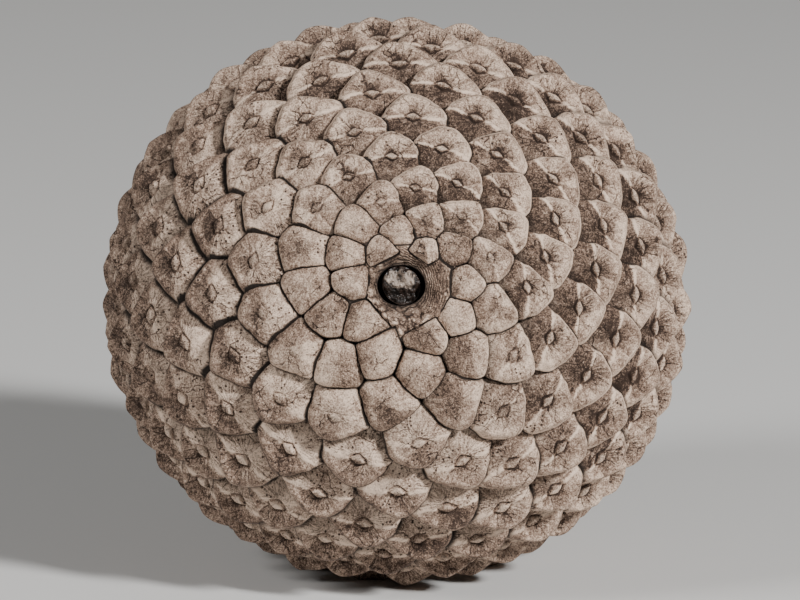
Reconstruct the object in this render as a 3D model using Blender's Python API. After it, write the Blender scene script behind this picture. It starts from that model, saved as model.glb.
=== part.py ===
"""Closed pine cone lying on its side, its stem end toward -Y, with the broken stub of its stalk in a pit.

The cone grows as one piece: keeled scales follow a golden-angle spiral over an egg-shaped core and are fused
with it. The axis runs from the stem end (-Y) to the tip (+Y), which lies lower because the wide end props it up.
"""

import math

import bmesh
import bpy
import numpy as np
from mathutils import Matrix, Vector

# Egg-shaped body, metres: half an ellipsoid on each side of the widest ring, a little lower than wide
RADIUS = 0.0385
SQUAT = 0.98
BASE_LENGTH = 0.035
TIP_LENGTH = 0.048
AXIS_TILT = math.radians(13.4)
CORE_SHARE = 0.90
CORE_SIDES = (24, 14)

# Spiral of the scales, seen from the stem end and counted clockwise from straight up
TURN = math.radians(137.508)
START = math.radians(232.3)
FIRST_POLAR = math.radians(7.5)
LAST_POLAR = math.radians(171)
RISE = math.radians(0.618)
SLOWING = math.radians(0.000608)
# Past the widest ring the scales first grow broader, then dwindle toward the tip
WAIST_GROWTH = 0.45
WAIST_END = 0.7
TIP_SHRINK = 0.9
# The places droop a little and crowd toward one side
DROOP = 0.087
CROWDING = 0.158
CROWDING_TURN = math.radians(22)

# One scale, as shares of its cell: X across, Y toward the tip, Z outward
FILL = 1.04
CORNER = (0.58, 0.03)
SHOULDER = (0.37, 0.40, 0.04)
MARGIN = (0.57, 0.05)
TUCK = (0.61, 0.15)
UMBO = (0.13, 0.09)
KEEL_HEIGHT = 0.20
ROOT = (0.40, 0.20)
ROOT_DEPTH = 0.60
# Each face tips its outer margin up, most round the widest ring, and its keel lies on the body
LEAST_LIFT = math.radians(8)
WAIST_LIFT = math.radians(24)
SINK = 0.17
# The scales of the stem end have a five-sided margin and a flat umbo, the rest are plainer
RICH_SCALES = 130
KEPT_SHARE = 0.68

# Stem end: collar of torn tissue, pit and stub of the stalk
PIT_ASIDE = 0.0005
PIT_UP = 0.0013
COLLAR_RADIUS = 0.0056
COLLAR_MOUTH = 0.0048
COLLAR_RISE = 0.0004
COLLAR_ROOT = 0.021
PIT_RADIUS = 0.0032
PIT_MOUTH = 0.0038
PIT_DEPTH = 0.0065
STALK_ROOT = 0.0027
STALK_TOP = 0.0025
STALK_LENGTH = 0.0060
BREAK_SLOPE = 0.30
CLEARANCE = 0.0003

# The lowest scales are worn to flat spots, which the cone lies on
WORN = 0.0010
GROUND_SIZE = 0.3

CONE_COLOUR = (0.36, 0.265, 0.20, 1.0)
CONE_ROUGHNESS = 0.7
STALK_COLOUR = (0.055, 0.035, 0.026, 1.0)
STALK_ROUGHNESS = 0.35


def polar_angles():
    """Angle of each scale from the stem end: a slowing rise to the widest ring, then area by area to the tip."""
    angles = [FIRST_POLAR]
    while angles[-1] < LAST_POLAR:
        polar = angles[-1]
        if polar < math.pi / 2:
            step = RISE - 2 * SLOWING * len(angles)
            rim_area = BASE_LENGTH * step
        else:
            past = 2 * polar / math.pi - 1
            waist = WAIST_GROWTH * math.sin(math.pi * min(past / WAIST_END, 1))
            area = rim_area * (1 + waist - TIP_SHRINK * max(past - WAIST_END, 0))
            step = area / (math.sin(polar) * math.hypot(RADIUS * math.cos(polar), TIP_LENGTH * math.sin(polar)))
        angles.append(polar + step)
    return np.array(angles)


def spiral_directions():
    """Unit direction of every scale from the body's centre."""
    polar = polar_angles()
    around = START + TURN * np.arange(len(polar))
    reach = np.sin(polar)
    across = reach * (np.sin(around) - CROWDING * np.sin(2 * around - CROWDING_TURN))
    up = reach * (np.cos(around) - CROWDING * np.cos(2 * around - CROWDING_TURN) - DROOP)
    directions = np.stack([across, -np.cos(polar), up], axis=1)
    return directions / np.linalg.norm(directions, axis=1)[:, None]


def body_axes(direction):
    """Half axes of the ellipsoid on a direction's side of the widest ring."""
    return Vector((RADIUS, BASE_LENGTH if direction[1] < 0 else TIP_LENGTH, RADIUS * SQUAT))


def body_point(direction):
    """Point of the egg-shaped body in a direction from its centre."""
    return Vector(direction) * body_axes(direction)


def body_normal(direction):
    """Outward normal of the body at the same point."""
    axes = body_axes(direction)
    return Vector([share / axis for share, axis in zip(direction, axes)]).normalized()


def scale_places():
    """Matrix of every scale, stretched to the spacing of the scales that it touches."""
    directions = spiral_directions()
    form = bmesh.new()
    verts = [form.verts.new(body_point(way)) for way in directions]
    bmesh.ops.convex_hull(form, input=verts)
    places = []
    for way, vert in zip(directions, verts):
        normal = body_normal(way)
        tip_ward = (Vector((0, 1, 0)) - normal * normal.y).normalized()
        frame = Matrix((tip_ward.cross(normal), tip_ward, normal))
        offsets = np.array([frame @ (edge.other_vert(vert).co - vert.co) for edge in vert.link_edges])[:, :2]
        spread, axes = np.linalg.eigh(offsets.T @ offsets / len(offsets))
        stretch = axes @ np.diag(np.sqrt(2 * spread)) @ axes.T * FILL
        sized = np.eye(3)
        sized[:2, :2] = stretch
        sized[2, 2] = math.sqrt(np.linalg.det(stretch))
        lift = LEAST_LIFT + WAIST_LIFT * math.hypot(way[0], way[2])
        matrix = (frame.transposed() @ Matrix.Rotation(lift, 3, "X") @ Matrix(sized.tolist())).to_4x4()
        matrix.translation = vert.co - normal * SINK * sized[2, 2]
        places.append(matrix)
    form.free()
    return places


def make_material(name, colour, roughness):
    """Plain woody surface."""
    material = bpy.data.materials.new(name)
    material.use_nodes = True
    shader = material.node_tree.nodes["Principled BSDF"]
    shader.inputs["Base Color"].default_value = colour
    shader.inputs["Roughness"].default_value = roughness
    shader.inputs["Metallic"].default_value = 0.0
    return material


def mesh_of(form, name):
    """Mesh of a finished bmesh."""
    mesh = bpy.data.meshes.new(name)
    form.to_mesh(mesh)
    form.free()
    return mesh


def add_object(name, mesh, collection):
    """Object of a mesh in a collection."""
    thing = bpy.data.objects.new(name, mesh)
    collection.objects.link(thing)
    return thing


def scale_mesh(rich):
    """Unit scale: a keeled shield round a raised umbo, tapering to its root."""
    umbo = [(UMBO[0], 0), (-UMBO[0], 0), (0, UMBO[1]), (0, -UMBO[1])] if rich else [(0, 0)]
    corners = [(x, y, KEEL_HEIGHT) for x, y in umbo]
    corners += [(0, -TUCK[0], -TUCK[1]), (0, ROOT[1], -ROOT_DEPTH)]
    corners += [(0, *MARGIN)] if rich else []
    for side in (-1, 1):
        corners += [(side * CORNER[0], 0, CORNER[1]), (side * SHOULDER[0], *SHOULDER[1:])]
        corners += [(side * ROOT[0], 0, -ROOT_DEPTH)]
    form = bmesh.new()
    for corner in corners:
        form.verts.new(corner)
    bmesh.ops.convex_hull(form, input=form.verts)
    bmesh.ops.recalc_face_normals(form, faces=form.faces)
    return mesh_of(form, "scale")


def make_core(collection):
    """Egg-shaped core under the scales."""
    form = bmesh.new()
    bmesh.ops.create_uvsphere(form, u_segments=CORE_SIDES[0], v_segments=CORE_SIDES[1], radius=CORE_SHARE)
    bmesh.ops.rotate(form, verts=form.verts, matrix=Matrix.Rotation(math.pi / 2, 3, "X"))
    for vert in form.verts:
        vert.co = body_point(vert.co)
    return add_object("core", mesh_of(form, "core"), collection)


def make_post(name, collection, radii, ends, sides, slope=0.0):
    """Tapered post along Y round the pit's centre; its first end is cut at a slope."""
    form = bmesh.new()
    bmesh.ops.create_cone(form, cap_ends=True, segments=sides, radius1=radii[0], radius2=radii[1],
                          depth=ends[1] - ends[0])
    for vert in form.verts:
        if vert.co.z < 0:
            vert.co.z += slope * vert.co.y
    bmesh.ops.rotate(form, verts=form.verts, matrix=Matrix.Rotation(-math.pi / 2, 3, "X"))
    bmesh.ops.translate(form, verts=form.verts, vec=(PIT_ASIDE, (ends[0] + ends[1]) / 2, PIT_UP))
    return add_object(name, mesh_of(form, name), collection)


def add_boolean(thing, operation, other=None, group=None):
    """Boolean with one object or a whole collection, which is too many for the exact solver."""
    change = thing.modifiers.new(operation.lower(), "BOOLEAN")
    change.operation = operation
    if group:
        change.solver = "MANIFOLD"
        change.operand_type = "COLLECTION"
        change.collection = group
    else:
        change.object = other


def bake(thing):
    """Apply a thing's modifiers to its mesh."""
    graph = bpy.context.evaluated_depsgraph_get()
    mesh = bpy.data.meshes.new_from_object(thing.evaluated_get(graph))
    thing.modifiers.clear()
    thing.data = mesh


def drop_scraps(mesh):
    """Keep the mesh's largest body: loose scraps go, and sealed hollows are filled."""
    form = bmesh.new()
    form.from_mesh(mesh)
    unseen = set(form.verts)
    bodies = []
    while unseen:
        body, front = set(), [next(iter(unseen))]
        while front:
            vert = front.pop()
            if vert not in body:
                body.add(vert)
                front.extend(edge.other_vert(vert) for edge in vert.link_edges)
        unseen -= body
        bodies.append(body)
    bodies.sort(key=len)
    loose = [vert for body in bodies[:-1] for vert in body]
    bmesh.ops.delete(form, geom=loose, context="VERTS")
    form.to_mesh(mesh)
    form.free()


def grow_cone(collection, cutters):
    """Core, collar and scales fused into one body, with the pit sunk into its stem end."""
    scales = bpy.data.collections.new("scales")
    bpy.context.scene.collection.children.link(scales)
    rich, plain = scale_mesh(True), scale_mesh(False)
    for index, matrix in enumerate(scale_places()):
        scale = add_object(f"scale_{index}", rich if index < RICH_SCALES else plain, scales)
        scale.matrix_world = matrix
    mouth = -BASE_LENGTH - COLLAR_RISE
    make_post("collar", scales, (COLLAR_MOUTH, COLLAR_RADIUS), (mouth, -COLLAR_ROOT), 14)
    cone = make_core(collection)
    add_boolean(cone, "UNION", group=scales)
    bake(cone)
    for thing in list(scales.objects):
        bpy.data.objects.remove(thing)
    bpy.data.collections.remove(scales)
    drop_scraps(cone.data)
    cone.modifiers.new("thin", "DECIMATE").ratio = KEPT_SHARE
    above = mouth - (PIT_MOUTH - PIT_RADIUS)
    pit = make_post("pit_cutter", cutters, (PIT_MOUTH, PIT_RADIUS), (above, mouth + PIT_DEPTH), 14)
    add_boolean(cone, "DIFFERENCE", other=pit)
    bake(cone)
    bpy.data.objects.remove(pit)
    return cone


def main():
    """Grow the cone and its stalk, then lay them on the ground."""
    for thing in list(bpy.data.objects):
        bpy.data.objects.remove(thing)
    pine_cone = bpy.data.collections.new("pine_cone")
    cutters = bpy.data.collections.new("cutters")
    for group in (pine_cone, cutters):
        bpy.context.scene.collection.children.link(group)

    cone = grow_cone(pine_cone, cutters)
    seat = -BASE_LENGTH - COLLAR_RISE + PIT_DEPTH - CLEARANCE
    stalk = make_post("stalk", pine_cone, (STALK_TOP, STALK_ROOT), (seat - STALK_LENGTH, seat), 12, BREAK_SLOPE)

    lay = Matrix.Rotation(-AXIS_TILT, 4, "X")
    lowest = min((lay @ vert.co).z for vert in cone.data.vertices)
    lay = Matrix.Translation((0, 0, -lowest - WORN)) @ lay
    for thing in (cone, stalk):
        thing.data.transform(lay)
    bpy.ops.mesh.primitive_cube_add(size=GROUND_SIZE, location=(0, 0, -GROUND_SIZE / 2))
    ground = bpy.context.object
    add_boolean(cone, "DIFFERENCE", other=ground)
    bake(cone)
    bpy.data.objects.remove(ground)
    drop_scraps(cone.data)
    spots = np.array([vert.co for vert in cone.data.vertices])
    middle = (spots.min(axis=0) + spots.max(axis=0)) / 2
    for thing in (cone, stalk):
        thing.data.transform(Matrix.Translation((-middle[0], -middle[1], 0)))
        thing.data.materials.clear()

    cone.name = "cone"
    cone.data.materials.append(make_material("scale_wood", CONE_COLOUR, CONE_ROUGHNESS))
    stalk.data.materials.append(make_material("stalk_wood", STALK_COLOUR, STALK_ROUGHNESS))
    stalk.data.shade_smooth()
    stalk.data.set_sharp_from_angle(angle=math.radians(40))


main()
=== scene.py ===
"""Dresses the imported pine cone: keeled scales, torn collar and stalk stub, in soft light on a pale floor."""
import logging
import math
from dataclasses import dataclass
from enum import Enum
from typing import Any, Sequence

import bpy
import numpy as np
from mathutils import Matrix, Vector


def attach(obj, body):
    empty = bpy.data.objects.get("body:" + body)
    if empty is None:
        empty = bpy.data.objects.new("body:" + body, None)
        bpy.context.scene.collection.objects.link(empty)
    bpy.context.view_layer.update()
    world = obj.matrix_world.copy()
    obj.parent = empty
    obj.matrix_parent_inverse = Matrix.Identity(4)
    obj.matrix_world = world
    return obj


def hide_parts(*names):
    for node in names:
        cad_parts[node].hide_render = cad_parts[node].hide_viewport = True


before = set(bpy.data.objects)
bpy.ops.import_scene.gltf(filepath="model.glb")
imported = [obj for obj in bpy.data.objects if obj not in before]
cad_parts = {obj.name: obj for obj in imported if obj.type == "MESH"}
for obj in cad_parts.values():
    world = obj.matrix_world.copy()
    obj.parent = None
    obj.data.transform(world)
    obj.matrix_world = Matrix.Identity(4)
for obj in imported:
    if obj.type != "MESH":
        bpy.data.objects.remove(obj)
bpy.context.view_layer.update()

LOG = logging.getLogger("pine_cone")
Array = np.ndarray


def ease(value: Array, low: float, high: float) -> Array:
    """Smooth step: 0 below low, 1 above high, 3s^2 - 2s^3 between."""
    share = np.clip((value - low) / (high - low), 0.0, 1.0)
    return share * share * (3.0 - 2.0 * share)


def bell(value: Array, width: float) -> Array:
    """Bell curve exp(-(value / width)^2)."""
    return np.exp(-np.square(value / width))


def crease(value: Array, softness: Array) -> Array:
    """Ramp max(value, 0) with its corner rounded: (v + sqrt(v^2 + k^2) - k) / 2."""
    return 0.5 * (value + np.sqrt(np.square(value) + np.square(softness)) - softness)


def ripple(points: Array, wavelength: float, seed: int, waves: int = 12) -> Array:
    """Smooth noise in space, as a sum of plane waves in random directions.

    The value is sum(cos(k_i . p + phase_i)) * sqrt(2 / waves), with |k_i| near 2 pi / wavelength.

    Args:
        points: places, with their last axis of length 3.
        wavelength: typical distance between crests, in metres.
        seed: seed of the random draw.
        waves: number of plane waves.

    Returns:
        Noise of unit spread, one value for each place.
    """
    draw = np.random.default_rng(seed)
    ways = draw.normal(size=(waves, 3))
    ways /= np.linalg.norm(ways, axis=1)[:, None]
    ways *= 2.0 * math.pi / (wavelength * draw.uniform(0.7, 1.5, size=(waves, 1)))
    phases = draw.uniform(0.0, 2.0 * math.pi, size=waves)
    total = np.zeros(points.shape[:-1])
    for way, phase in zip(ways, phases):
        total += np.cos(points @ way + phase)
    return total * math.sqrt(2.0 / waves)


def ring_faces(rings: int, sides: int, copies: int) -> tuple[Array, Array]:
    """Faces of closed round grids: a pole, rings of points from pole to pole, and a last pole.

    Each copy numbers its points as first pole, rings * sides ring points, last pole. The rings run from the
    outer face's middle outward and down, counted counter-clockwise, so the faces point out.

    Args:
        rings: rings between the poles.
        sides: points on a ring.
        copies: grids of this kind in the mesh.

    Returns:
        Quads and triangles as rows of point numbers.
    """
    ring = np.arange(rings)[:, None] * sides + 1
    side = np.arange(sides)[None, :]
    after = (side + 1) % sides
    here, there = ring[:-1], ring[1:]
    quads = np.stack([here + side, there + side, there + after, here + after], axis=-1).reshape(-1, 4)
    last = rings * sides + 1
    first_fan = np.stack([np.zeros(sides, int), 1 + side[0], 1 + after[0]], axis=-1)
    last_fan = np.stack([np.full(sides, last), ring[-1] + after[0], ring[-1] + side[0]], axis=-1)
    tris = np.concatenate([first_fan, last_fan])
    steps = (np.arange(copies) * (last + 1))[:, None, None]
    return (quads[None] + steps).reshape(-1, 4), (tris[None] + steps).reshape(-1, 3)


def make_mesh(name: str, points: Array, quads: Array, tris: Array, marks: dict[str, Array]
              ) -> bpy.types.Mesh:
    """Smooth mesh from whole arrays.

    Args:
        name: the mesh's name.
        points: places in the frame, one row each.
        quads: four-sided faces.
        tris: three-sided faces.
        marks: named values on the points, one number or three for each.

    Returns:
        The new mesh.
    """
    mesh = bpy.data.meshes.new(name)
    loops = np.concatenate([quads.ravel(), tris.ravel()]).astype(np.int32)
    starts = np.concatenate([np.arange(len(quads)) * 4, quads.size + np.arange(len(tris)) * 3])
    starts = starts.astype(np.int32)
    mesh.vertices.add(len(points))
    mesh.vertices.foreach_set("co", points.astype(np.float32).ravel())
    mesh.loops.add(len(loops))
    mesh.loops.foreach_set("vertex_index", loops)
    mesh.polygons.add(len(starts))
    mesh.polygons.foreach_set("loop_start", starts)
    mesh.update(calc_edges=True)
    for label, values in marks.items():
        kind = "FLOAT_VECTOR" if values.ndim == 2 else "FLOAT"
        layer = mesh.attributes.new(label, kind, "POINT")
        field = "vector" if values.ndim == 2 else "value"
        layer.data.foreach_set(field, values.astype(np.float32).ravel())
    mesh.shade_smooth()
    return mesh


def add_piece(mesh: bpy.types.Mesh, node: str, material: bpy.types.Material
              ) -> bpy.types.Object:
    """Object of a mesh that rides on the cone's one body.

    Args:
        mesh: the piece's mesh, placed in the frame.
        node: CAD node that the piece stands for.
        material: finish of the piece.

    Returns:
        The new object.
    """
    piece = bpy.data.objects.new(mesh.name, mesh)
    bpy.context.scene.collection.objects.link(piece)
    mesh.materials.append(material)
    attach(piece, "root")
    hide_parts(node)
    LOG.info("%s: %d faces for node %s", piece.name, len(mesh.polygons), node)
    return piece


@dataclass(frozen=True)
class LyingBody:
    """Egg-shaped body of the cone, metres: its axis runs along Y before it is laid down."""

    radius: float = 0.0385
    squat: float = 0.968
    base_length: float = 0.035
    tip_length: float = 0.048
    tilt: float = math.radians(13.4)
    centre: tuple[float, float, float] = (-0.00032, -0.00613, 0.03849)
    pit: tuple[float, float] = (0.0005, 0.0013)

    def half_axes(self, ways: Array) -> Array:
        """Half axes of the ellipsoid that each direction meets: shorter toward the stem end."""
        length = np.where(ways[..., 1] < 0.0, self.base_length, self.tip_length)
        wide = np.full_like(length, self.radius)
        return np.stack([wide, length, wide * self.squat], axis=-1)

    def lay(self, points: Array) -> Array:
        """Turn points by the tilt about X, y' = y cos + z sin and z' = z cos - y sin, then move them."""
        cos, sin = math.cos(self.tilt), math.sin(self.tilt)
        x, y, z = np.moveaxis(points, -1, 0)
        return np.stack([x, y * cos + z * sin, z * cos - y * sin], axis=-1) + np.array(self.centre)


@dataclass(frozen=True)
class GrowthSpiral:
    """Places of the scales: a golden-angle spiral from the stem end, clockwise from straight up."""

    turn: float = math.radians(137.508)
    start: float = math.radians(232.3)
    first_polar: float = math.radians(7.5)
    last_polar: float = math.radians(171.0)
    rise: float = math.radians(0.618)
    slowing: float = math.radians(0.000608)
    waist_growth: float = 0.45
    waist_end: float = 0.7
    tip_shrink: float = 0.9
    droop: float = 0.087
    crowding: float = 0.158
    crowding_turn: float = math.radians(22.0)

    def polar_angles(self, body: LyingBody) -> Array:
        """Angle of each scale from the stem end: a slowing rise to the widest ring, then area by area."""
        angles = [self.first_polar]
        rim_area = 0.0
        while angles[-1] < self.last_polar:
            polar = angles[-1]
            if polar < math.pi / 2:
                step = self.rise - 2 * self.slowing * len(angles)
                rim_area = body.base_length * step
            else:
                past = 2 * polar / math.pi - 1
                waist = self.waist_growth * math.sin(math.pi * min(past / self.waist_end, 1))
                area = rim_area * (1 + waist - self.tip_shrink * max(past - self.waist_end, 0))
                arc = math.hypot(body.radius * math.cos(polar), body.tip_length * math.sin(polar))
                step = area / (math.sin(polar) * arc)
            angles.append(polar + step)
        return np.array(angles)

    def directions(self, body: LyingBody) -> Array:
        """Unit direction of each scale from the body's centre, drooping and crowded to one side."""
        polar = self.polar_angles(body)
        around = self.start + self.turn * np.arange(len(polar))
        double = 2 * around - self.crowding_turn
        across = np.sin(polar) * (np.sin(around) - self.crowding * np.sin(double))
        up = np.sin(polar) * (np.cos(around) - self.crowding * np.cos(double) - self.droop)
        ways = np.stack([across, -np.cos(polar), up], axis=1)
        return ways / np.linalg.norm(ways, axis=1)[:, None]


class Seats:
    """Seat of every scale on the body: place, axes across, toward the tip and outward, and cell size."""

    COLLAR_WIDTH = 1.06
    COLLAR_LEAN = 0.20
    LEAST_CLEAR = 0.0009
    CELL_NEIGHBOURS = 6
    CELL_SHARE = 0.93

    def __init__(self, body: LyingBody, ways: Array, touching: int = 9, collar: float = 0.0052) -> None:
        """Work out the seats.

        Args:
            body: the body that carries the scales.
            ways: direction of each scale.
            touching: neighbours that may bound a scale.
            collar: radius round the pit that the scales keep clear of, metres.
        """
        axes = body.half_axes(ways)
        self.ways = ways
        self.place = ways * axes
        self.out = ways / axes
        self.out /= np.linalg.norm(self.out, axis=1)[:, None]
        self.tipward = np.array([0.0, 1.0, 0.0]) - self.out * self.out[:, 1:2]
        self.tipward /= np.linalg.norm(self.tipward, axis=1)[:, None]
        self.across = np.cross(self.tipward, self.out)
        gaps = self.place[None] - self.place[:, None]
        far = np.linalg.norm(gaps, axis=2) + np.eye(len(ways))
        self.nearest = np.argsort(far, axis=1)[:, :touching]
        reach = np.take_along_axis(gaps, self.nearest[:, :, None], axis=1)
        inward = np.array([body.pit[0], -body.base_length, body.pit[1]]) - self.place
        away = np.linalg.norm(inward, axis=1)
        clear = collar * (self.COLLAR_WIDTH - self.COLLAR_LEAN * inward[:, 0] / away)
        twice = 2 * np.maximum(away - clear, self.LEAST_CLEAR) / away
        reach = np.concatenate([reach, (inward * twice[:, None])[:, None]], axis=1)
        self.beside = np.stack([np.einsum("nkc,nc->nk", reach, self.across),
                                np.einsum("nkc,nc->nk", reach, self.tipward)], axis=-1)
        self.size = np.sort(far, axis=1)[:, :self.CELL_NEIGHBOURS].mean(axis=1) * self.CELL_SHARE

    def outline(self, rows: Array, angles: Array, sharpness: float) -> Array:
        """Half-way line to the neighbours round each seat, with its corners rounded.

        The radius r at angle t obeys r^-p = sum(max(2 cos(t - a_k), 0) / d_k)^p over the neighbours at
        angle a_k and distance d_k, which is the cell of points nearest the seat as p grows.

        Args:
            rows: the seats.
            angles: angles round the seat, from across toward the tip.
            sharpness: the power p.

        Returns:
            Radius in metres for each seat and angle.
        """
        beside = self.beside[rows]
        distance = np.linalg.norm(beside, axis=2)[:, :, None]
        toward = np.arctan2(beside[..., 1], beside[..., 0])[:, :, None]
        facing = np.maximum(2.0 * np.cos(angles[None, None] - toward), 0.0) / distance
        return np.sum(facing ** sharpness, axis=1) ** (-1.0 / sharpness)


class Tier(Enum):
    """Rows of scales from the stem end to the tip: first, last, points round a scale and rings across it."""

    STEM_END = ("stem_scales", 0, 46, 64, 26)
    LOWER = ("lower_scales", 46, 92, 64, 26)
    SHOULDER = ("shoulder_scales", 92, 138, 60, 25)
    WAIST = ("waist_scales", 138, 200, 44, 18)
    TIP = ("tip_scales", 200, 400, 40, 16)


@dataclass(frozen=True)
class FacePoints:
    """Points on the faces of some scales, shaped (scales, rings, sides), and what is known of each scale.

    Attributes:
        x: places across, in cell sides.
        past: places past the keel, toward the tip, in cell sides.
        share: share of the outline radius.
        turn: angle round the seat.
        grown: 0 for the small domes at the stem end, 1 for keeled scales.
        crisp: how crisp the keel is.
        side: how far the scale faces the upper right, toward the key light, 0 to 1; shade and light are
            painted by it.
        luck: random numbers of each scale.
    """

    x: Array
    past: Array
    share: Array
    turn: Array
    grown: Array
    crisp: Array
    side: Array
    luck: Array


@dataclass(frozen=True)
class ScaleForm:
    """Relief of one scale, as shares of its cell's side."""

    peak: float = 0.22
    dome: float = 0.27
    fold: float = 0.26
    inner_slope: float = 0.54
    outer_slope: float = 0.25
    side_slope: float = 0.26
    keel_softness: float = 0.008
    margin_round: float = 0.060
    least_lift: float = math.radians(8.0)
    waist_lift: float = math.radians(24.0)
    brow_lift: float = math.radians(10.0)
    brow_sink: float = 0.05
    brow_place: float = -0.20
    brow_width: float = 0.28
    sink: float = 0.09
    waist_sink: float = 0.08
    keel_shift: float = 0.10
    rim_shift: float = 0.05
    shade_reach: float = 0.042
    rim_shade: float = 0.14
    limb_shade: float = 0.22
    umbo: tuple[float, float] = (0.135, 0.092)
    umbo_power: float = 1.25
    umbo_rise: float = 0.040
    groove: float = 0.040
    groove_place: float = 1.32
    dimple: float = 0.100
    dimple_place: float = 0.07
    dimple_size: tuple[float, float] = (0.26, 0.12)
    roll: float = 0.075
    roll_place: float = 0.80
    roll_width: float = 0.13
    bulge: float = 0.10
    bulge_width: float = 0.42
    ridge: float = 0.016
    ray_relief: float = 0.006
    margin_power: int = 9
    walls: tuple[tuple[float, float], ...] = ((1.010, 0.020), (1.004, 0.06), (0.95, 0.16), (0.62, 0.80))
    bare_edge: tuple[float, ...] = (0.75, 0.70, 0.45, 0.0)
    waves: tuple[tuple[int, float], ...] = ((3, 0.014), (5, 0.010), (11, 0.006), (17, 0.004))
    gap: float = 0.975
    overlap: float = 0.12
    corner: float = 0.13

    def grow(self, seats: Seats, rows: Array, sides: int, rings: int) -> tuple[Array, dict[str, Array]]:
        """Points of the scales in these rows, as closed round grids.

        A ring point at share s of the outline radius r(t) lies at X = s r cos t, Y = s r sin t, on a face
        that is tipped up by the lift. The wall rings then drop from the margin toward the core.

        Args:
            seats: all seats.
            rows: the scales to grow.
            sides: points round a ring.
            rings: rings across the face.

        Returns:
            Points before the body is laid down, shaped (scales, points, 3), and the named values on them.
        """
        luck = self.luck(rows)
        angle = np.arange(sides) * (2.0 * math.pi / sides)
        share = ((np.arange(1, rings + 1) / rings) ** 1.25)[None, :, None]
        turn = angle[None, None, :]
        grown = self.growth(rows)
        crisp = self.crispness(seats, rows)
        radius = self.outline(seats, rows, angle, grown, luck)

        x, y = share * radius * np.cos(turn), share * radius * np.sin(turn)
        keel = 0.05 * luck[:, 4] * x - 0.10 * x * x + 0.015 * np.sin(9 * x + 3 * luck[:, 5])
        shift = self.keel_shift + self.rim_shift * self.rim(seats, rows) ** 4
        past = y - keel - shift * (0.4 + 0.6 * crisp)
        points = FacePoints(x, past, share, turn, grown, crisp, self.light_side(seats, rows), luck)
        height = self.relief(points)
        marks = self.face_marks(points)
        # painted shadow lines along the margins of the scales that lie over the face
        marks["painted_shade"] = np.maximum(marks["painted_shade"], self.cover(seats, rows, x, y))

        openness = self.openness(seats, rows)
        brow = bell(seats.ways[rows, 1][:, None, None] - self.brow_place, self.brow_width)
        lift = self.least_lift * (0.55 + 0.45 * crisp) + self.waist_lift * openness * (0.75 + 0.25 * crisp)
        lift = lift + self.brow_lift * brow
        tilted = y * np.cos(lift) - height * np.sin(lift)
        raised = y * np.sin(lift) + height * np.cos(lift)
        sunk = self.sink * (0.3 + 0.7 * crisp) + self.waist_sink * openness + self.brow_sink * brow
        face = np.stack([x, tilted, raised - sunk * grown], axis=-1)
        walls = [face[:, -1:] * (widen, widen, 1.0) - (0.0, 0.0, drop) for widen, drop in self.walls]
        local = np.concatenate([face, *walls], axis=1).reshape(len(rows), -1, 3)
        top = local[:, :sides].mean(axis=1, keepdims=True)
        root = local[:, -sides:].mean(axis=1, keepdims=True)
        local = np.concatenate([top, local, root], axis=1) * seats.size[rows][:, None, None]
        return self.seat(local, seats, rows), self.close_marks(marks, ease(np.sin(turn), 0.0, 0.5) * grown)

    def luck(self, rows: Array) -> Array:
        """Twelve random numbers of each scale, from -1 to 1."""
        draw = np.random.default_rng(71)
        return draw.uniform(-1.0, 1.0, size=(400, 12))[rows][:, :, None, None]

    def rim(self, seats: Seats, rows: Array) -> Array:
        """Sine of the angle from the axis: 0 at the ends, 1 on the widest ring."""
        return np.hypot(seats.ways[rows, 0], seats.ways[rows, 2])[:, None, None]

    def openness(self, seats: Seats, rows: Array) -> Array:
        """How far the scales gape, 0 to 1: closed at the stem end, widest on the widest ring."""
        rim = self.rim(seats, rows)
        return np.where(seats.ways[rows, 1][:, None, None] < 0.0, rim ** 4, rim)

    def growth(self, rows: Array) -> Array:
        """Share of the full keeled form: 0 for the small domes at the stem end, 1 from there on."""
        return ease(rows.astype(float), 8.0, 44.0)[:, None, None]

    def past_margin(self, seats: Seats, other: Array, gap: Array, steps: int = 180) -> Array:
        """Distance of places past the margin of a scale, below 0 inside it.

        Args:
            seats: all seats.
            other: the scale that each row of places is measured from.
            gap: places from that scale's seat, across and toward the tip, metres, shaped (scales, ..., 2).
            steps: angles at which the margins are worked out.

        Returns:
            Metres past the margin, one for each place.
        """
        everyone = np.arange(len(seats.size))
        angles = np.arange(steps) * (2.0 * math.pi / steps)
        margins = self.outline(seats, everyone, angles, self.growth(everyone), self.luck(everyone))[:, 0]
        other = other.reshape(-1, *[1] * (gap.ndim - 2))
        slot = np.arctan2(gap[..., 1], gap[..., 0]) * (steps / (2.0 * math.pi)) % steps
        first = slot.astype(int) % steps
        before, after = margins[other, first], margins[other, (first + 1) % steps]
        margin = before + (after - before) * (slot % 1.0)
        return np.hypot(gap[..., 0], gap[..., 1]) - margin * seats.size[other]

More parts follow.
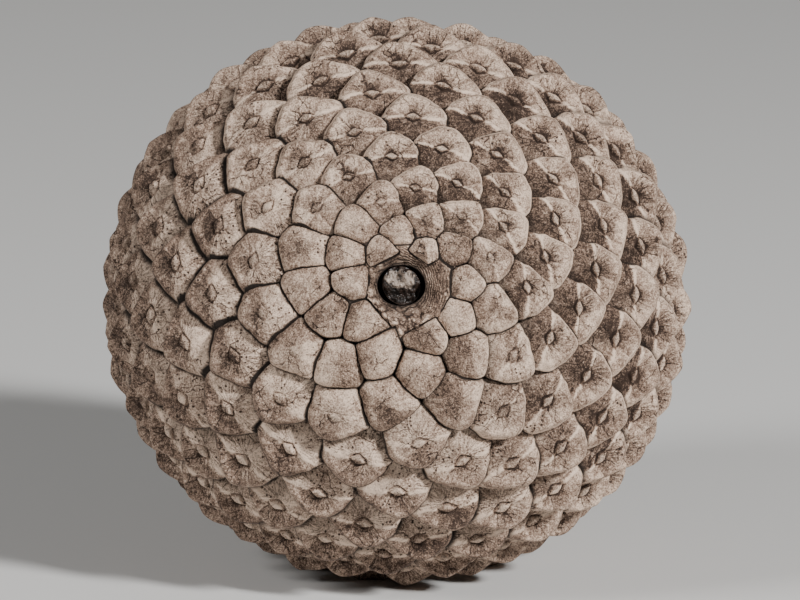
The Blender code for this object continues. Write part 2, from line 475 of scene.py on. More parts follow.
    def cover(self, seats: Seats, rows: Array, x: Array, y: Array) -> Array:
        """Painted shadow line on each face along the margins of the scales that lie over it.

        A scale nearer the stem end lies over its neighbours. The line's strength falls from 1 at that
        scale's margin to 0 at the shade's reach beyond it. The reach grows toward the widest ring, and less
        so in the tip half.

        Args:
            seats: all seats.
            rows: the scales.
            x: places across, in cell sides.
            y: places toward the tip, in cell sides.

        Returns:
            Strength of the line, shaped as the places.
        """
        side = seats.size[rows][:, None, None]
        open_half = 1.0 - 0.7 * ease(seats.ways[rows][:, 1], -0.05, 0.25)[:, None, None]
        rim = self.rim(seats, rows)
        wider = self.rim_shade * rim ** 4 + self.limb_shade * rim ** 14
        reach = side * (self.shade_reach + open_half * wider)
        axes = np.stack([seats.across, seats.tipward], axis=1)
        strength = np.zeros_like(x)
        for other, beside in zip(seats.nearest[rows].T, seats.beside[rows].transpose(1, 0, 2)):
            turned = np.einsum("nac,nbc->nab", axes[other], axes[rows])
            gap = np.stack([x, y], axis=-1) * side[..., None] - beside[:, None, None]
            past = self.past_margin(seats, other, np.einsum("nab,nrsb->nrsa", turned, gap))
            near = 1.0 - ease(past / reach, 0.1, 1.0)
            strength = np.maximum(strength, near * (other < rows)[:, None, None])
        return strength

    def outline(self, seats: Seats, rows: Array, angle: Array, grown: Array, luck: Array) -> Array:
        """Radius of the margin round each seat, as a share of the cell's side.

        It is the sharp cell toward the stem and a rounder, wider one toward the tip, drawn out at both ends
        of the keel, with low waves and a notch in the outer margin.

        Args:
            seats: all seats.
            rows: the scales.
            angle: angles round the seat.
            grown: 0 for the small domes at the stem end, 1 for keeled scales.
            luck: random numbers of each scale.

        Returns:
            Radii shaped (scales, 1, angles).
        """
        turn = angle[None, None, :]
        outward = np.sin(turn)
        size = seats.size[rows][:, None, None]
        rounded = ease(outward, 0.1, 0.6)
        sharp = seats.outline(rows, angle, 22.0)[:, None, :] / size
        tiled = seats.outline(rows, angle, 9.0)[:, None, :] / size * 1.03
        curved = seats.outline(rows, angle, 5.0)[:, None, :] / size * 1.10
        soft = tiled + (curved - tiled) * self.crispness(seats, rows)
        radius = self.gap * (sharp * (1 - rounded) + soft * rounded)
        radius *= 1.0 + grown * (self.overlap * ease(outward, 0.05, 0.55) + 0.12 * ease(-outward, 0.2, 0.8))
        radius *= 1.0 + grown * self.corner * np.abs(np.cos(turn)) ** 10
        waves = [high * np.sin(count * turn + 3 * luck[:, k]) for k, (count, high) in enumerate(self.waves)]
        radius *= (1.0 + waves[0] + waves[1]) * (1.0 + waves[2] + waves[3])
        notch = bell(turn - math.pi / 2 - 0.25 * luck[:, 2], 0.22)
        return radius * (1.0 - 0.06 * grown * (0.3 + luck[:, 3]) * notch)

    def light_side(self, seats: Seats, rows: Array) -> Array:
        """How far each scale faces the upper right, toward the key light, 0 to 1.

        It sets the painted shade and light: the inner faces are painted dark on the upper right, where it is
        1, and pale on the lower left. It also sets how crisp the keels are.
        """
        across, _, up = seats.ways[rows].T
        return ease(0.70 * across + 0.52 * up, -0.42, 0.38)[:, None, None]

    def crispness(self, seats: Seats, rows: Array) -> Array:
        """How crisp each scale's keel is, 0 to 1: crisp on the upper right and below, soft on the left."""
        below = 0.85 * ease(-seats.ways[rows, 2], 0.15, 0.60)[:, None, None]
        return np.maximum(self.light_side(seats, rows), below)

    def relief(self, points: FacePoints) -> Array:
        """Height of the face over its seat.

        Height = peak - inner ramp - outer ramp - side fall, with a hollow past the umbo, a roll inside the
        outer margin, a low ridge and rays, and the umbo's raised eye in its groove. Near the stem end it is a
        low dome instead, with one fold.

        Args:
            points: points on the faces.

        Returns:
            Height as a share of the cell's side.
        """
        x, past, share, luck, crisp = points.x, points.past, points.share, points.luck, points.crisp
        softness = self.keel_softness + 0.07 * (1 - crisp)
        roof = self.peak * (1 + 0.12 * luck[:, 6] + 0.15 * (1 - crisp))
        roof = roof - self.inner_slope * (0.62 + 0.45 * crisp) * crease(-past, softness)
        roof = roof - self.outer_slope * (0.90 + 0.20 * luck[:, 7]) * crease(past, softness)
        roof = roof - self.side_slope * (1.3 - 0.3 * crisp) * np.abs(x) ** 1.5
        distance = np.hypot(x, past)
        roof = roof + self.bulge * (1 - crisp) * bell(distance, self.bulge_width)
        wide, long = self.dimple_size
        dip = bell(x, wide) * bell(past - self.dimple_place, long)
        roof = roof - self.dimple * (0.5 + 0.5 * crisp) * dip
        roof = roof + self.roll * bell(share - self.roll_place, self.roll_width) * ease(past, 0.05, 0.22)
        ridge = bell(x + 0.03 * luck[:, 10], 0.05) * ease(past, 0.10, 0.3) * (0.3 + 0.5 * luck[:, 11])
        roof = roof + self.ridge * ridge
        rays = np.cos((9 + np.round(2 * luck[:, 8])) * points.turn + 3 * luck[:, 9])
        roof = roof + self.ray_relief * (1 - 0.5 * crisp) * rays * bell(distance - 0.27, 0.10)
        eye = self.eye(x, past)
        roof = roof + self.umbo_rise * (1 - ease(eye, 0.55, 1.10))
        roof = roof - self.groove * bell(eye - self.groove_place, 0.24)
        fold = self.fold_line(x, past, luck)
        dome = self.dome * (1 - 0.70 * share ** 2)
        dome = dome - self.fold * (crease(fold, 0.03) + 0.4 * crease(-fold, 0.03))
        height = points.grown * roof + (1 - points.grown) * dome
        tilt = 0.04 * luck[:, 0] * x + 0.03 * luck[:, 1] * past
        return height - self.margin_round * share ** self.margin_power + tilt

    def eye(self, x: Array, past: Array) -> Array:
        """Distance from the umbo's middle, 1 on its rhombic border: |x / a|^p + |y / b|^p."""
        across, along = self.umbo
        return np.abs(x / across) ** self.umbo_power + np.abs(past / along) ** self.umbo_power

    def fold_line(self, x: Array, past: Array, luck: Array) -> Array:
        """Distance past the fold that runs over each small dome, in cell sides."""
        return x * np.cos(3 * luck[:, 8]) + past * np.sin(3 * luck[:, 8]) - 0.12 * luck[:, 10]

    def face_marks(self, points: FacePoints) -> dict[str, Array]:
        """Named values for the finish.

        The painted_shade value paints shade on the margin and on the face toward the stem where it tucks under
        its neighbours, eye paints shade in the groove round the umbo, inner paints shade and light on the
        faces toward and away from the stem by how they face the key light, and hollow paints shade in the dip
        past the umbo.
        Wear_and_highlight lightens keels and edges, partly as wear and partly as a painted highlight on the
        side toward the light, middle carries the cracks, stain varies whole scales, pitting gathers pits, and
        rays are coordinates that run out from the umbo.

        Args:
            points: points on the faces.

        Returns:
            Arrays shaped (scales, rings, sides), and (scales, rings, sides, 3) for the rays.
        """
        x, past, share, turn, luck = points.x, points.past, points.share, points.turn, points.luck
        grown, crisp, side = points.grown, points.crisp, points.side
        full = np.zeros_like(past)
        eye = self.eye(x, past)
        inner = ease(-past, 0.0, 0.06) * grown
        outer = ease(past, 0.0, 0.15) * grown
        edge = ease(share, 0.90, 0.99) * ease(past, 0.0, 0.1)
        keel = bell(past, 0.024) * ease(np.abs(x), 0.12, 0.17) * crisp * grown
        rays = np.stack([np.cos(turn) + full, np.sin(turn) + full, 0.25 * np.hypot(x, past) + full], axis=-1)
        # painted shade along each scale's margin, weaker on the outer face toward the light
        margin = ease(share, 0.93, 1.0) * (1.0 - 0.80 * outer * side)
        bare_eye = (0.7 * crisp - 0.2 + 0.3 * luck[:, 6]) * ease(eye, 1.05, 0.75)
        folded = (1 - grown) * ease(self.fold_line(x, past, luck), -0.02, 0.03) * (0.25 + 0.35 * luck[:, 7])
        rimmed = 2.0 * (1 - grown) * ease(share, 0.55, 1.0) * luck[:, 11]
        return {
            # painted shade: the margin, and the face toward the stem where it tucks under its neighbours
            "painted_shade": np.clip(0.55 * ease(-past, 0.22, 0.48) * grown * side + margin, 0, 1),
            # painted shade in the groove round the umbo, stronger toward the light; the umbo itself is paler
            # on crisp scales
            "eye": (bell(eye - self.groove_place, 0.22) * (0.6 + 0.4 * side) - bare_eye) * grown,
            # painted shade and light on the facets: inner faces dark on the upper right and pale on the lower
            # left, outer faces dark on the lower left, and one side of the fold on each small dome painted as
            # a shaded facet
            "inner": inner * (side - 0.30) + outer * 1.1 * np.maximum(0.45 - side, 0.0) + folded,
            # painted shade in the dip past the umbo, stronger toward the light
            "hollow": bell(x, 0.24) * bell(past - 0.10, 0.12) * grown * (0.3 + 0.7 * side),
            # light keels and edges: partly wear, partly a painted highlight on the side toward the light
            "wear_and_highlight": np.clip(keel + 0.5 * edge * side, 0.0, 1.0) + full,
            "middle": np.maximum(bell(np.hypot(x, past), 0.28), 0.6 * inner * (1 - side)) * grown,
            "stain": luck[:, 9] * (1.0 - 0.5 * grown) + rimmed + full,
            "pitting": inner * (1 - side),
            "rays": rays,
        }

    def close_marks(self, marks: dict[str, Array], tipward: Array) -> dict[str, Array]:
        """Values carried on from the face to the poles and walls.

        The walls are painted dark with shade, but for the scale's bare edge toward the tip.

        Args:
            marks: values on the face.
            tipward: share of the bare edge at each angle, shaped (scales, 1, sides).

        Returns:
            Values shaped (scales, points), or (scales, points, 3).
        """
        closed = {}
        for label, values in marks.items():
            below = np.repeat(values[:, -1:], len(self.walls), axis=1)
            if label == "painted_shade":
                # painted shade on the walls under each scale, lifted on the bare edge toward the tip
                below = 1.0 - np.array(self.bare_edge)[None, :, None] * tipward
            whole = np.concatenate([values, below], axis=1)
            flat = whole.reshape(len(values), -1, *values.shape[3:])
            closed[label] = np.concatenate([flat[:, :1], flat, flat[:, -1:]], axis=1)
        return closed

    def seat(self, local: Array, seats: Seats, rows: Array) -> Array:
        """Carry local points to their seats: x across, y toward the tip, z outward."""
        axes = np.stack([seats.across[rows], seats.tipward[rows], seats.out[rows]], axis=1)
        return local @ axes + seats.place[rows][:, None]


@dataclass(frozen=True)
class Crown:
    """Every scale of the cone, tier by tier, and the core that shows between them, painted all over with
    shade.
    """

    body: LyingBody
    spiral: GrowthSpiral
    form: ScaleForm
    core_share: float = 0.90
    core_flat: float = 0.0285
    torn_away: tuple[int, ...] = (1, 4)

    def seats(self) -> Seats:
        """Seats of all scales."""
        return Seats(self.body, self.spiral.directions(self.body))

    def build(self, material: bpy.types.Material) -> None:
        """Grow the tiers of scales and the core."""
        seats = self.seats()
        for tier in Tier:
            name, first, last, sides, rings = tier.value
            rows = np.setdiff1d(np.arange(first, min(last, len(seats.size))), self.torn_away)
            points, marks = self.form.grow(seats, rows, sides, rings)
            points = self.body.lay(points).reshape(-1, 3)
            points[:, 2] = np.maximum(points[:, 2], 0.0)
            quads, tris = ring_faces(rings + len(self.form.walls), sides, len(rows))
            flat = {label: values.reshape(-1, *values.shape[2:]) for label, values in marks.items()}
            add_piece(make_mesh(name, points, quads, tris, flat), "cone", material)
        self.build_core(material)

    def build_core(self, material: bpy.types.Material, sides: int = 64, rings: int = 40) -> None:
        """Ellipsoid under the scales, cut flat behind the pit: its rings run from the tip to the stem."""
        polar = (np.arange(1, rings + 1) / (rings + 1) * math.pi)[:, None]
        turn = (np.arange(sides) / sides * 2 * math.pi)[None]
        across, up = np.sin(polar) * np.cos(turn), -np.sin(polar) * np.sin(turn)
        ways = np.stack([across, np.cos(polar) + 0 * turn, up], axis=-1)
        ways = np.concatenate([[[0, 1, 0]], ways.reshape(-1, 3), [[0, -1, 0]]])
        points = ways * self.body.half_axes(ways) * self.core_share
        points[:, 1] = np.maximum(points[:, 1], -self.core_flat)
        quads, tris = ring_faces(rings, sides, 1)
        # the core is painted shade all over: the dark seen between the scales
        dark = {"painted_shade": np.ones(len(points))}
        add_piece(make_mesh("core", self.body.lay(points), quads, tris, dark), "cone", material)


@dataclass(frozen=True)
class StemEnd:
    """Torn collar, pit and broken stub of the stalk, round the pit's own axis, metres."""

    crown: Crown
    mouth: float = -0.0345
    collar_outer: float = 0.0088
    collar_skirt: float = 0.0062
    funnel: float = 0.0014
    pit_radius: float = 0.0030
    pit_depth: float = 0.0050
    stub_radius: float = 0.0026
    stub_reach: float = -0.0336
    stub_depth: float = 0.0046
    fibre_pitch: float = 0.00036
    crumbs: int = 700
    ringed: int = 18

    def ring(self, turn: Array, radius: Array, depth: Array) -> Array:
        """Points round the pit's axis: x = r sin t, z = r cos t, at depth along Y."""
        return np.stack([radius * np.sin(turn) + self.crown.body.pit[0], depth + 0 * turn * radius,
                         radius * np.cos(turn) + self.crown.body.pit[1]], axis=-1)

    def crumble(self, turn: Array, radius: Array) -> tuple[Array, Array]:
        """Height of torn crumbs: the tallest of many domes h (1 - d^2 / w^2), with seams where two meet.

        Args:
            turn: angles round the pit.
            radius: distances from the pit's axis.

        Returns:
            Height in metres, and a value near 1 in the seams.
        """
        draw = np.random.default_rng(29)
        at = draw.uniform(0, 2 * math.pi, self.crumbs)
        out = self.pit_radius + (self.collar_outer - self.pit_radius) * draw.uniform(0.1, 1.0, self.crumbs)
        wide = draw.uniform(0.00022, 0.00060, self.crumbs)
        tall = wide * draw.uniform(0.5, 1.2, self.crumbs)
        x, z = radius * np.sin(turn), radius * np.cos(turn)
        height, second = np.zeros_like(x), np.zeros_like(x)
        for place, far, width, rise in zip(at, out, wide, tall):
            gap = np.hypot(x - far * math.sin(place), z - far * math.cos(place))
            crumb = rise * (1 - np.square(gap / width))
            second = np.maximum(second, np.minimum(height, crumb))
            height = np.maximum(height, crumb)
        return height, 1 - ease(height - second, 0.0, 0.00007)

    def under_scales(self, points: Array) -> Array:
        """Metres from each place on the collar to the nearest scale's margin, below 0 under the scale."""
        seats, form = self.crown.seats(), self.crown.form
        nearest = np.full(points.shape[:-1], 1.0)
        for row in range(self.ringed):
            if row not in self.crown.torn_away:
                gap = points - seats.place[row]
                flat = np.stack([gap @ seats.across[row], gap @ seats.tipward[row]], axis=-1)[None]
                nearest = np.minimum(nearest, form.past_margin(seats, np.array([row]), flat)[0])
        return nearest

    def build_collar(self, material: bpy.types.Material, sides: int = 400, rings: int = 165) -> None:
        """Ring of torn tissue: it rises from under the scales, then falls as a funnel into the pit.

        With s from 0 outside to 1 at the pit's floor, the radius shrinks from outer to pit radius by s = 0.7,
        then the depth runs down the pit. Circular fibres roughen the right side and crumbs the lower left.
        Shade is painted in the fibres' grooves, toward the pit and inside it and in the seams between crumbs,
        and a broken line of painted shadow runs along the scales' margins.
        """
        turn = (np.arange(sides) / sides * 2 * math.pi)[None]
        s = (np.arange(rings) / (rings - 1))[:, None]
        oval = 1 + 0.09 * np.cos(2 * (turn - math.radians(90)))
        inward = np.clip(s / 0.70, 0.0, 1.0)
        radius = self.collar_outer + (self.pit_radius * oval - self.collar_outer) * inward
        radius = radius * (1 - 0.10 * ease(s, 0.70, 1.0))
        out = (radius - self.pit_radius) / (self.collar_outer - self.pit_radius)
        depth = self.mouth + self.collar_skirt * ease(s, 0.16, 0.0)
        depth = depth + self.funnel * np.square(1 - np.clip(out / 0.55, 0.0, 1.0))
        depth = depth + self.pit_depth * ease(s, 0.68, 1.0)
        points = self.ring(turn, radius, depth)
        rough = ease(np.cos(turn - math.radians(235)), -0.55, 0.35)
        rough = np.maximum(rough, ease(np.cos(turn - math.radians(350)), 0.75, 1.0) * ease(out, 0.3, 0.5))
        waver = 3.2 * ripple(points, 0.0032, 5) + ripple(points, 0.0012, 15)
        fibres = np.sin(radius * 2 * math.pi / self.fibre_pitch + waver)
        grain = ripple(points, 0.0011, 6) + 0.6 * ripple(points, 0.0005, 7)
        crumb, seam = self.crumble(turn, radius)
        face = ease(s, 0.05, 0.15) * (1 - ease(s, 0.66, 0.80))
        torn = rough * ease(out, 0.0, 0.25)
        lump = 0.00022 * ripple(points, 0.0026, 8)
        free = self.under_scales(points)
        points[..., 1] += 0.0012 * ease(free, 0.0001, -0.0006)
        rise = 0.00008 * fibres * (1 - torn) + 0.00005 * grain + torn * crumb + lump
        points[..., 1] -= face * ease(free, 0.0, 0.0004) * rise
        first = self.ring(0 * turn, 0 * turn, np.full_like(turn, self.mouth + 0.0090))[0, :1]
        last = self.ring(0 * turn, 0 * turn, np.full_like(turn, self.mouth + self.pit_depth))[0, :1]
        whole = np.concatenate([first, points.reshape(-1, 3), last])
        # painted shade: in the fibres' grooves, deepening toward the pit and inside it, and in the seams
        # between crumbs
        groove = 0.45 * ease(fibres, 0.0, -1.0) * (1 - torn) + 0.45 * ease(out, 0.50, 0.0)
        inside = ease(-out, -0.22, 0.02) * (0.55 + 0.45 * ease(s, 0.66, 0.72))
        painted_shade = np.clip(np.maximum(inside, face * np.maximum(torn * seam * 0.80, groove)), 0, 1) + 0 * turn
        # painted shadow in a broken line along the margins of the scales over the collar
        broken = ease(ripple(points, 0.0022, 16), -1.6, -0.2)
        painted_shade = np.maximum(painted_shade, ease(free, 0.00030, 0.00008) * ease(s, 0.68, 0.60) * broken)
        marks = {"painted_shade": np.concatenate([[1.0], painted_shade.ravel(), [1.0]]), "torn": np.ones(len(whole)),
                 "crumb": np.concatenate([[0.0], (face * torn * (crumb / 0.0004 - 0.5)).ravel(), [0.0]])}
        quads, tris = ring_faces(rings, sides, 1)
        mesh = make_mesh("collar", self.crown.body.lay(whole), quads, tris, marks)
        add_piece(mesh, "cone", material)

    def build_stub(self, material: bpy.types.Material, sides: int = 120, rings: int = 80) -> None:
        """Broken stub: a lumpy end whose lower half has splintered away, and a plain shank.

        With s from 0 at the end's middle to 1 at the shank's foot, the radius grows evenly up to s = 0.7 and
        the rest is the shank.
        """
        turn = (np.arange(sides) / sides * 2 * math.pi)[None]
        s = (np.arange(1, rings + 1) / rings)[:, None]
        radius = self.stub_radius * np.minimum(s / 0.7, 1.0) * (1 + 0.05 * np.cos(2 * turn + 0.5 * math.pi))
        depth = self.stub_reach + (self.stub_depth - 0.0014) * ease(s, 0.68, 1.0)
        points = self.ring(turn, radius, depth)
        face = 1 - ease(s, 0.64, 0.74)
        share = radius / self.stub_radius
        across, up = share * np.sin(turn), share * np.cos(turn)
        low = ease(-up + 0.25 * across, -0.15, 0.55)
        lumps = 0.00022 * ripple(points, 0.0018, 11) + 0.00010 * ripple(points, 0.0007, 12)
        lumps = lumps + 0.00006 * ripple(points, 0.0003, 13)
        points[..., 1] += face * (0.0013 * low + lumps) + 0.0005 * ease(share, 0.70, 1.0)
        middle = points[:1].mean(axis=1)
        foot = points[-1:].mean(axis=1)
        whole = np.concatenate([middle, points.reshape(-1, 3), foot])
        blob = np.hypot((across - 0.02) / 0.78, (up - 0.30) / 0.46) + 0.16 * ripple(points, 0.0012, 14)
        hollow = bell(np.hypot((across + 0.10) / 0.9, up - 0.42), 0.20)
        pale = (face * (1 - ease(blob, 0.80, 1.05)) * (1 - 0.7 * hollow)).ravel()
        marks = {"pale": np.concatenate([[0.6], pale, [0.0]])}
        quads, tris = ring_faces(rings, sides, 1)
        mesh = make_mesh("stalk_stub", self.crown.body.lay(whole), quads, tris, marks)
        add_piece(mesh, "stalk", material)


class Nodes:
    """Small helper that lays out the nodes of one procedural material."""

    def __init__(self, name: str) -> None:
        """Start a material with its shader and its object coordinates."""
        self.material = bpy.data.materials.new(name)
        self.material.use_nodes = True
        self.tree = self.material.node_tree
        self.shader = self.tree.nodes["Principled BSDF"]
        self.places = self.tree.nodes.new("ShaderNodeTexCoord").outputs["Object"]

    def add(self, kind: str, inputs: dict[Any, Any], **settings: Any) -> bpy.types.Node:
        """Add a node.

        Args:
            kind: the node's type.
            inputs: values or sockets for its inputs.
            settings: properties of the node.

        Returns:
            The new node.
        """
        node = self.tree.nodes.new(kind)
        for label, value in settings.items():
            setattr(node, label, value)
        for label, value in inputs.items():
            if isinstance(value, bpy.types.NodeSocket):
                self.tree.links.new(value, node.inputs[label])
            else:
                node.inputs[label].default_value = value
        return node

    def mark(self, label: str) -> bpy.types.NodeSocket:
        """Number that the mesh carries under this name."""
        return self.add("ShaderNodeAttribute", {}, attribute_name=label).outputs["Fac"]

    def noise(self, scale: float, detail: float = 3.0, rough: float = 0.55, where: Any = None
              ) -> bpy.types.NodeSocket:
        """Value of a noise pattern, in object coordinates unless told otherwise."""
        inputs = {"Vector": where or self.places, "Scale": scale, "Detail": detail, "Roughness": rough}
        return self.add("ShaderNodeTexNoise", inputs).outputs["Fac"]

    def vector_mark(self, label: str) -> bpy.types.NodeSocket:
        """Vector that the mesh carries under this name."""
        return self.add("ShaderNodeAttribute", {}, attribute_name=label).outputs["Vector"]

    def cells(self, scale: float, feature: str, where: bpy.types.NodeSocket) -> bpy.types.NodeSocket:
        """Distance in a pattern of cells: to their points with F1, to their borders with DISTANCE_TO_EDGE."""
        inputs = {"Vector": where, "Scale": scale}
        return self.add("ShaderNodeTexVoronoi", inputs, feature=feature).outputs["Distance"]

    def warped(self, scale: float, reach: float) -> bpy.types.NodeSocket:
        """Object coordinates pushed about by a noise pattern, by up to half the reach in metres."""
        noise = self.add("ShaderNodeTexNoise", {"Vector": self.places, "Scale": scale, "Detail": 2.0})
        inputs = {0: noise.outputs["Color"], 1: (reach,) * 3, 2: self.places}
        return self.add("ShaderNodeVectorMath", inputs, operation="MULTIPLY_ADD").outputs["Vector"]

    def ramp(self, value: bpy.types.NodeSocket, low: float, high: float, out: Sequence[float] = (0.0, 1.0)
             ) -> bpy.types.NodeSocket:
        """Smooth step from out[0] at low to out[1] at high."""
        inputs = {"Value": value, "From Min": low, "From Max": high, "To Min": out[0], "To Max": out[1]}
        return self.add("ShaderNodeMapRange", inputs, interpolation_type="SMOOTHSTEP").outputs["Result"]

    def math(self, operation: str, *values: Any) -> bpy.types.NodeSocket:
        """Arithmetic on one or two values."""
        return self.add("ShaderNodeMath", dict(enumerate(values)), operation=operation).outputs[0]

    def total(self, base: float, *parts: tuple[bpy.types.NodeSocket, float]) -> bpy.types.NodeSocket:
        """Sum of a base and weighted values."""
        value = base
        for part, weight in parts:
            inputs = {0: part, 1: weight, 2: value}
            value = self.add("ShaderNodeMath", inputs, operation="MULTIPLY_ADD").outputs[0]
        return value

    def mix(self, share: Any, first: Any, second: Any) -> bpy.types.NodeSocket:
        """Colour between two colours: the node's inputs 0, 6 and 7 are its factor and its two colours."""
        return self.add("ShaderNodeMix", {0: share, 6: first, 7: second}, data_type="RGBA").outputs[2]

    def bump(self, height: bpy.types.NodeSocket, distance: float, strength: float = 1.0, under: Any = None
             ) -> bpy.types.NodeSocket:
        """Bump from a height, stacked on another normal if given."""
        inputs = {"Height": height, "Distance": distance, "Strength": strength}
        if under is not None:
            inputs["Normal"] = under
        return self.add("ShaderNodeBump", inputs).outputs["Normal"]

    def dress(self, colour: Any, roughness: Any, normal: Any = None) -> bpy.types.Material:
        """Wire the shader and give back the material."""
        for label, value in (("Base Color", colour), ("Roughness", roughness), ("Normal", normal)):
            if isinstance(value, bpy.types.NodeSocket):
                self.tree.links.new(value, self.shader.inputs[label])
            elif value is not None:
                self.shader.inputs[label].default_value = value
        return self.material


@dataclass(frozen=True)
class WeatheredScale:
    """Dry sepia wood of the scales, with speckle, rays and pits, and painted shade in the crevices."""

    light: tuple[float, ...] = (0.85, 0.645, 0.50, 1.0)
    middle: tuple[float, ...] = (0.260, 0.172, 0.124, 1.0)
    dark: tuple[float, ...] = (0.050, 0.029, 0.020, 1.0)
    # colour of the painted shade in crevices, under the scales and on the core
    painted_shade: tuple[float, ...] = (0.016, 0.010, 0.007, 1.0)
    base_tone: float = 0.60

    def material(self) -> bpy.types.Material:
        """Nodes of the finish: one tone, added up from noise and marks, picks between the colours.

        The noises are taken about their mean of one half, so they leave the base tone as it is.
        """
        n = Nodes("weathered_scale")
        patches = n.noise(220.0, 4.0)
        mottle = n.noise(700.0, 5.0, 0.70)
        grain = n.noise(2300.0, 4.0, 0.7)
        speckle = n.noise(5200.0, 2.0, 0.7)
        rays = n.noise(9.0, 3.0, 0.65, n.vector_mark("rays"))
        crack = n.ramp(n.math("ABSOLUTE", n.math("SUBTRACT", rays, 0.5)), 0.030, 0.004)
        crack = n.math("MULTIPLY", crack, n.ramp(n.noise(210.0, 2.0), 0.40, 0.56))
        crack = n.math("MULTIPLY", crack, n.ramp(n.mark("middle"), 0.05, 0.5))
        clusters = n.total(0.0, (n.noise(240.0, 2.0), 1.0), (n.mark("pitting"), 0.16))
        pits = n.ramp(n.cells(1500.0, "F1", n.places), 0.30, 0.14)
        pitted = n.math("MULTIPLY", pits, n.ramp(clusters, 0.58, 0.66))
        edges = n.cells(380.0, "DISTANCE_TO_EDGE", n.warped(900.0, 0.0010))
        vein = n.math("MULTIPLY", n.ramp(edges, 0.030, 0.004), n.ramp(n.noise(330.0, 2.0), 0.50, 0.60))
        noises = ((patches, 0.9), (mottle, 0.8), (grain, 0.7), (speckle, 1.3), (rays, 0.5))
        lines = ((crack, -0.38), (pitted, -0.50), (vein, -0.35))
        # inner, eye and hollow paint shade and light, and wear_and_highlight is partly a painted highlight
        weights = {"torn": -0.20, "inner": -0.42, "wear_and_highlight": 0.62, "eye": -0.55, "hollow": -0.28, "stain": 0.07,
                   "crumb": 0.5}
        marks = tuple((n.mark(label), weight) for label, weight in weights.items())
        base = self.base_tone - 0.5 * sum(weight for _, weight in noises)
        tone = n.total(base, *noises, *lines, *marks)
        colour = n.mix(n.ramp(tone, 0.12, 0.46), self.dark, self.middle)
        colour = n.mix(n.ramp(tone, 0.36, 0.95), colour, self.light)
        # painted shade laid over the wood's tone
        colour = n.mix(n.ramp(n.mark("painted_shade"), 0.05, 0.95), colour, self.painted_shade)
        relief = n.total(0.0, (rays, 0.5), (mottle, 0.8), (crack, -0.5), (pitted, -0.6), (vein, -0.5))
        normal = n.bump(relief, 0.00030, 0.9)
        normal = n.bump(grain, 0.00022, 1.0, normal)
        n.shader.inputs["Specular IOR Level"].default_value = 0.30
        return n.dress(colour, n.ramp(grain, 0.3, 0.7, (0.86, 0.66)), normal)


@dataclass(frozen=True)
class ResinousStub:
    """Dark resin-soaked end of the stalk, glossy and paler on its broken upper part."""

    dark: tuple[float, ...] = (0.010, 0.006, 0.0045, 1.0)
    brown: tuple[float, ...] = (0.040, 0.024, 0.017, 1.0)
    pale: tuple[float, ...] = (0.42, 0.34, 0.28, 1.0)

    def material(self) -> bpy.types.Material:
        """Nodes of the finish."""
        n = Nodes("resinous_stub")
        colour = n.mix(n.ramp(n.noise(1600.0, 4.0, 0.65), 0.4, 0.65), self.dark, self.brown)
        patch = n.math("MULTIPLY", n.mark("pale"), n.ramp(n.noise(1500.0, 3.0), 0.30, 0.50))
        colour = n.mix(patch, colour, self.pale)
        normal = n.bump(n.noise(1800.0, 4.0, 0.65), 0.00022, 0.9)
        n.shader.inputs["Specular IOR Level"].default_value = 0.6
        return n.dress(colour, n.ramp(n.noise(1100.0), 0.35, 0.65, (0.22, 0.5)), normal)


@dataclass(frozen=True)
class PaleFloor:
    """Plain pale floor finish."""

    colour: tuple[float, ...] = (0.78, 0.77, 0.75, 1.0)

    def material(self) -> bpy.types.Material:
        """Matt surface, hardly mottled."""
        n = Nodes("pale_floor")
        darker = tuple(0.985 * channel for channel in self.colour[:3]) + (1.0,)
        return n.dress(n.mix(n.noise(3.0), self.colour, darker), 0.9)


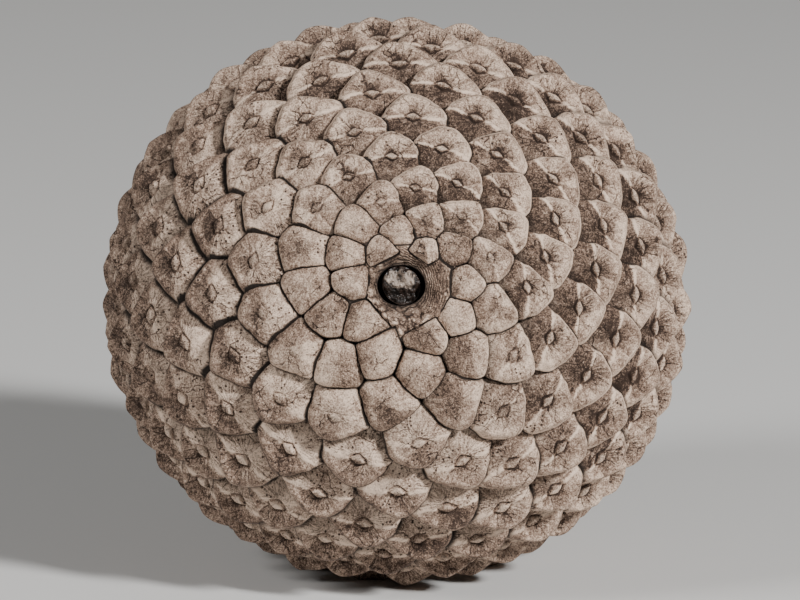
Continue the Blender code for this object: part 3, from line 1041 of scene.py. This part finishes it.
@dataclass(frozen=True)
class Studio:
    """Floor, soft lights and the camera at the photograph's viewing angle."""

    elevation: float = math.radians(12.0)
    distance: float = 1.0
    sensor: float = 36.0
    frame_width: float = 0.1117
    aim: tuple[float, float, float] = (0.0, -0.0045, 0.0383)
    floor_half: float = 3.0

    def lay_floor(self) -> None:
        """Wide flat floor at the height that the cone lies on."""
        points = self.floor_half * np.array([(-1, -1, 0), (1, -1, 0), (1, 1, 0), (-1, 1, 0)], dtype=float)
        mesh = make_mesh("floor", points, np.array([[0, 1, 2, 3]]), np.zeros((0, 3), int), {})
        mesh.materials.append(PaleFloor().material())
        floor = bpy.data.objects.new("floor", mesh)
        bpy.context.scene.collection.objects.link(floor)

    def add_light(self, name: str, place: Sequence[float], size: float, watts: float) -> None:
        """Square soft light that faces the cone.

        Args:
            name: the light's name.
            place: where it hangs, metres.
            size: side of the square.
            watts: its power.
        """
        lamp = bpy.data.lights.new(name, "AREA")
        lamp.size = size
        lamp.energy = watts
        holder = bpy.data.objects.new(name, lamp)
        holder.location = place
        aim = Vector(self.aim) - Vector(place)
        holder.rotation_euler = aim.to_track_quat("-Z", "Y").to_euler()
        bpy.context.scene.collection.objects.link(holder)

    def light(self) -> None:
        """Key light from the upper right, weak fill from the left, and a pale sky."""
        self.add_light("key", (0.80, -0.85, 0.72), 0.16, 24.0)
        self.add_light("fill", (-0.95, -0.60, 0.80), 0.4, 8.5)
        world = bpy.data.worlds.new("pale_sky")
        world.use_nodes = True
        sky = world.node_tree.nodes["Background"]
        sky.inputs["Color"].default_value = (1.0, 0.99, 0.97, 1.0)
        sky.inputs["Strength"].default_value = 0.04
        bpy.context.scene.world = world

    def place_camera(self) -> None:
        """Long lens that looks along the cone's axis at its stem end."""
        lens = bpy.data.cameras.new("camera")
        lens.sensor_width = self.sensor
        lens.lens = self.sensor * self.distance / self.frame_width
        camera = bpy.data.objects.new("camera", lens)
        way = Vector((0.0, -math.cos(self.elevation), math.sin(self.elevation)))
        camera.location = Vector(self.aim) + way * self.distance
        camera.rotation_euler = (-way).to_track_quat("-Z", "Y").to_euler()
        bpy.context.scene.collection.objects.link(camera)
        bpy.context.scene.camera = camera


def main() -> None:
    """Build the cone from its scales to its stalk, then the studio round it."""
    logging.basicConfig(level=logging.INFO, format="%(message)s")
    body = LyingBody()
    studio = Studio()
    studio.place_camera()
    wood = WeatheredScale().material()
    crown = Crown(body, GrowthSpiral(), ScaleForm())
    crown.build(wood)
    stem_end = StemEnd(crown)
    stem_end.build_collar(wood)
    stem_end.build_stub(ResinousStub().material())
    studio.lay_floor()
    studio.light()


if __name__ == "__main__":
    main()
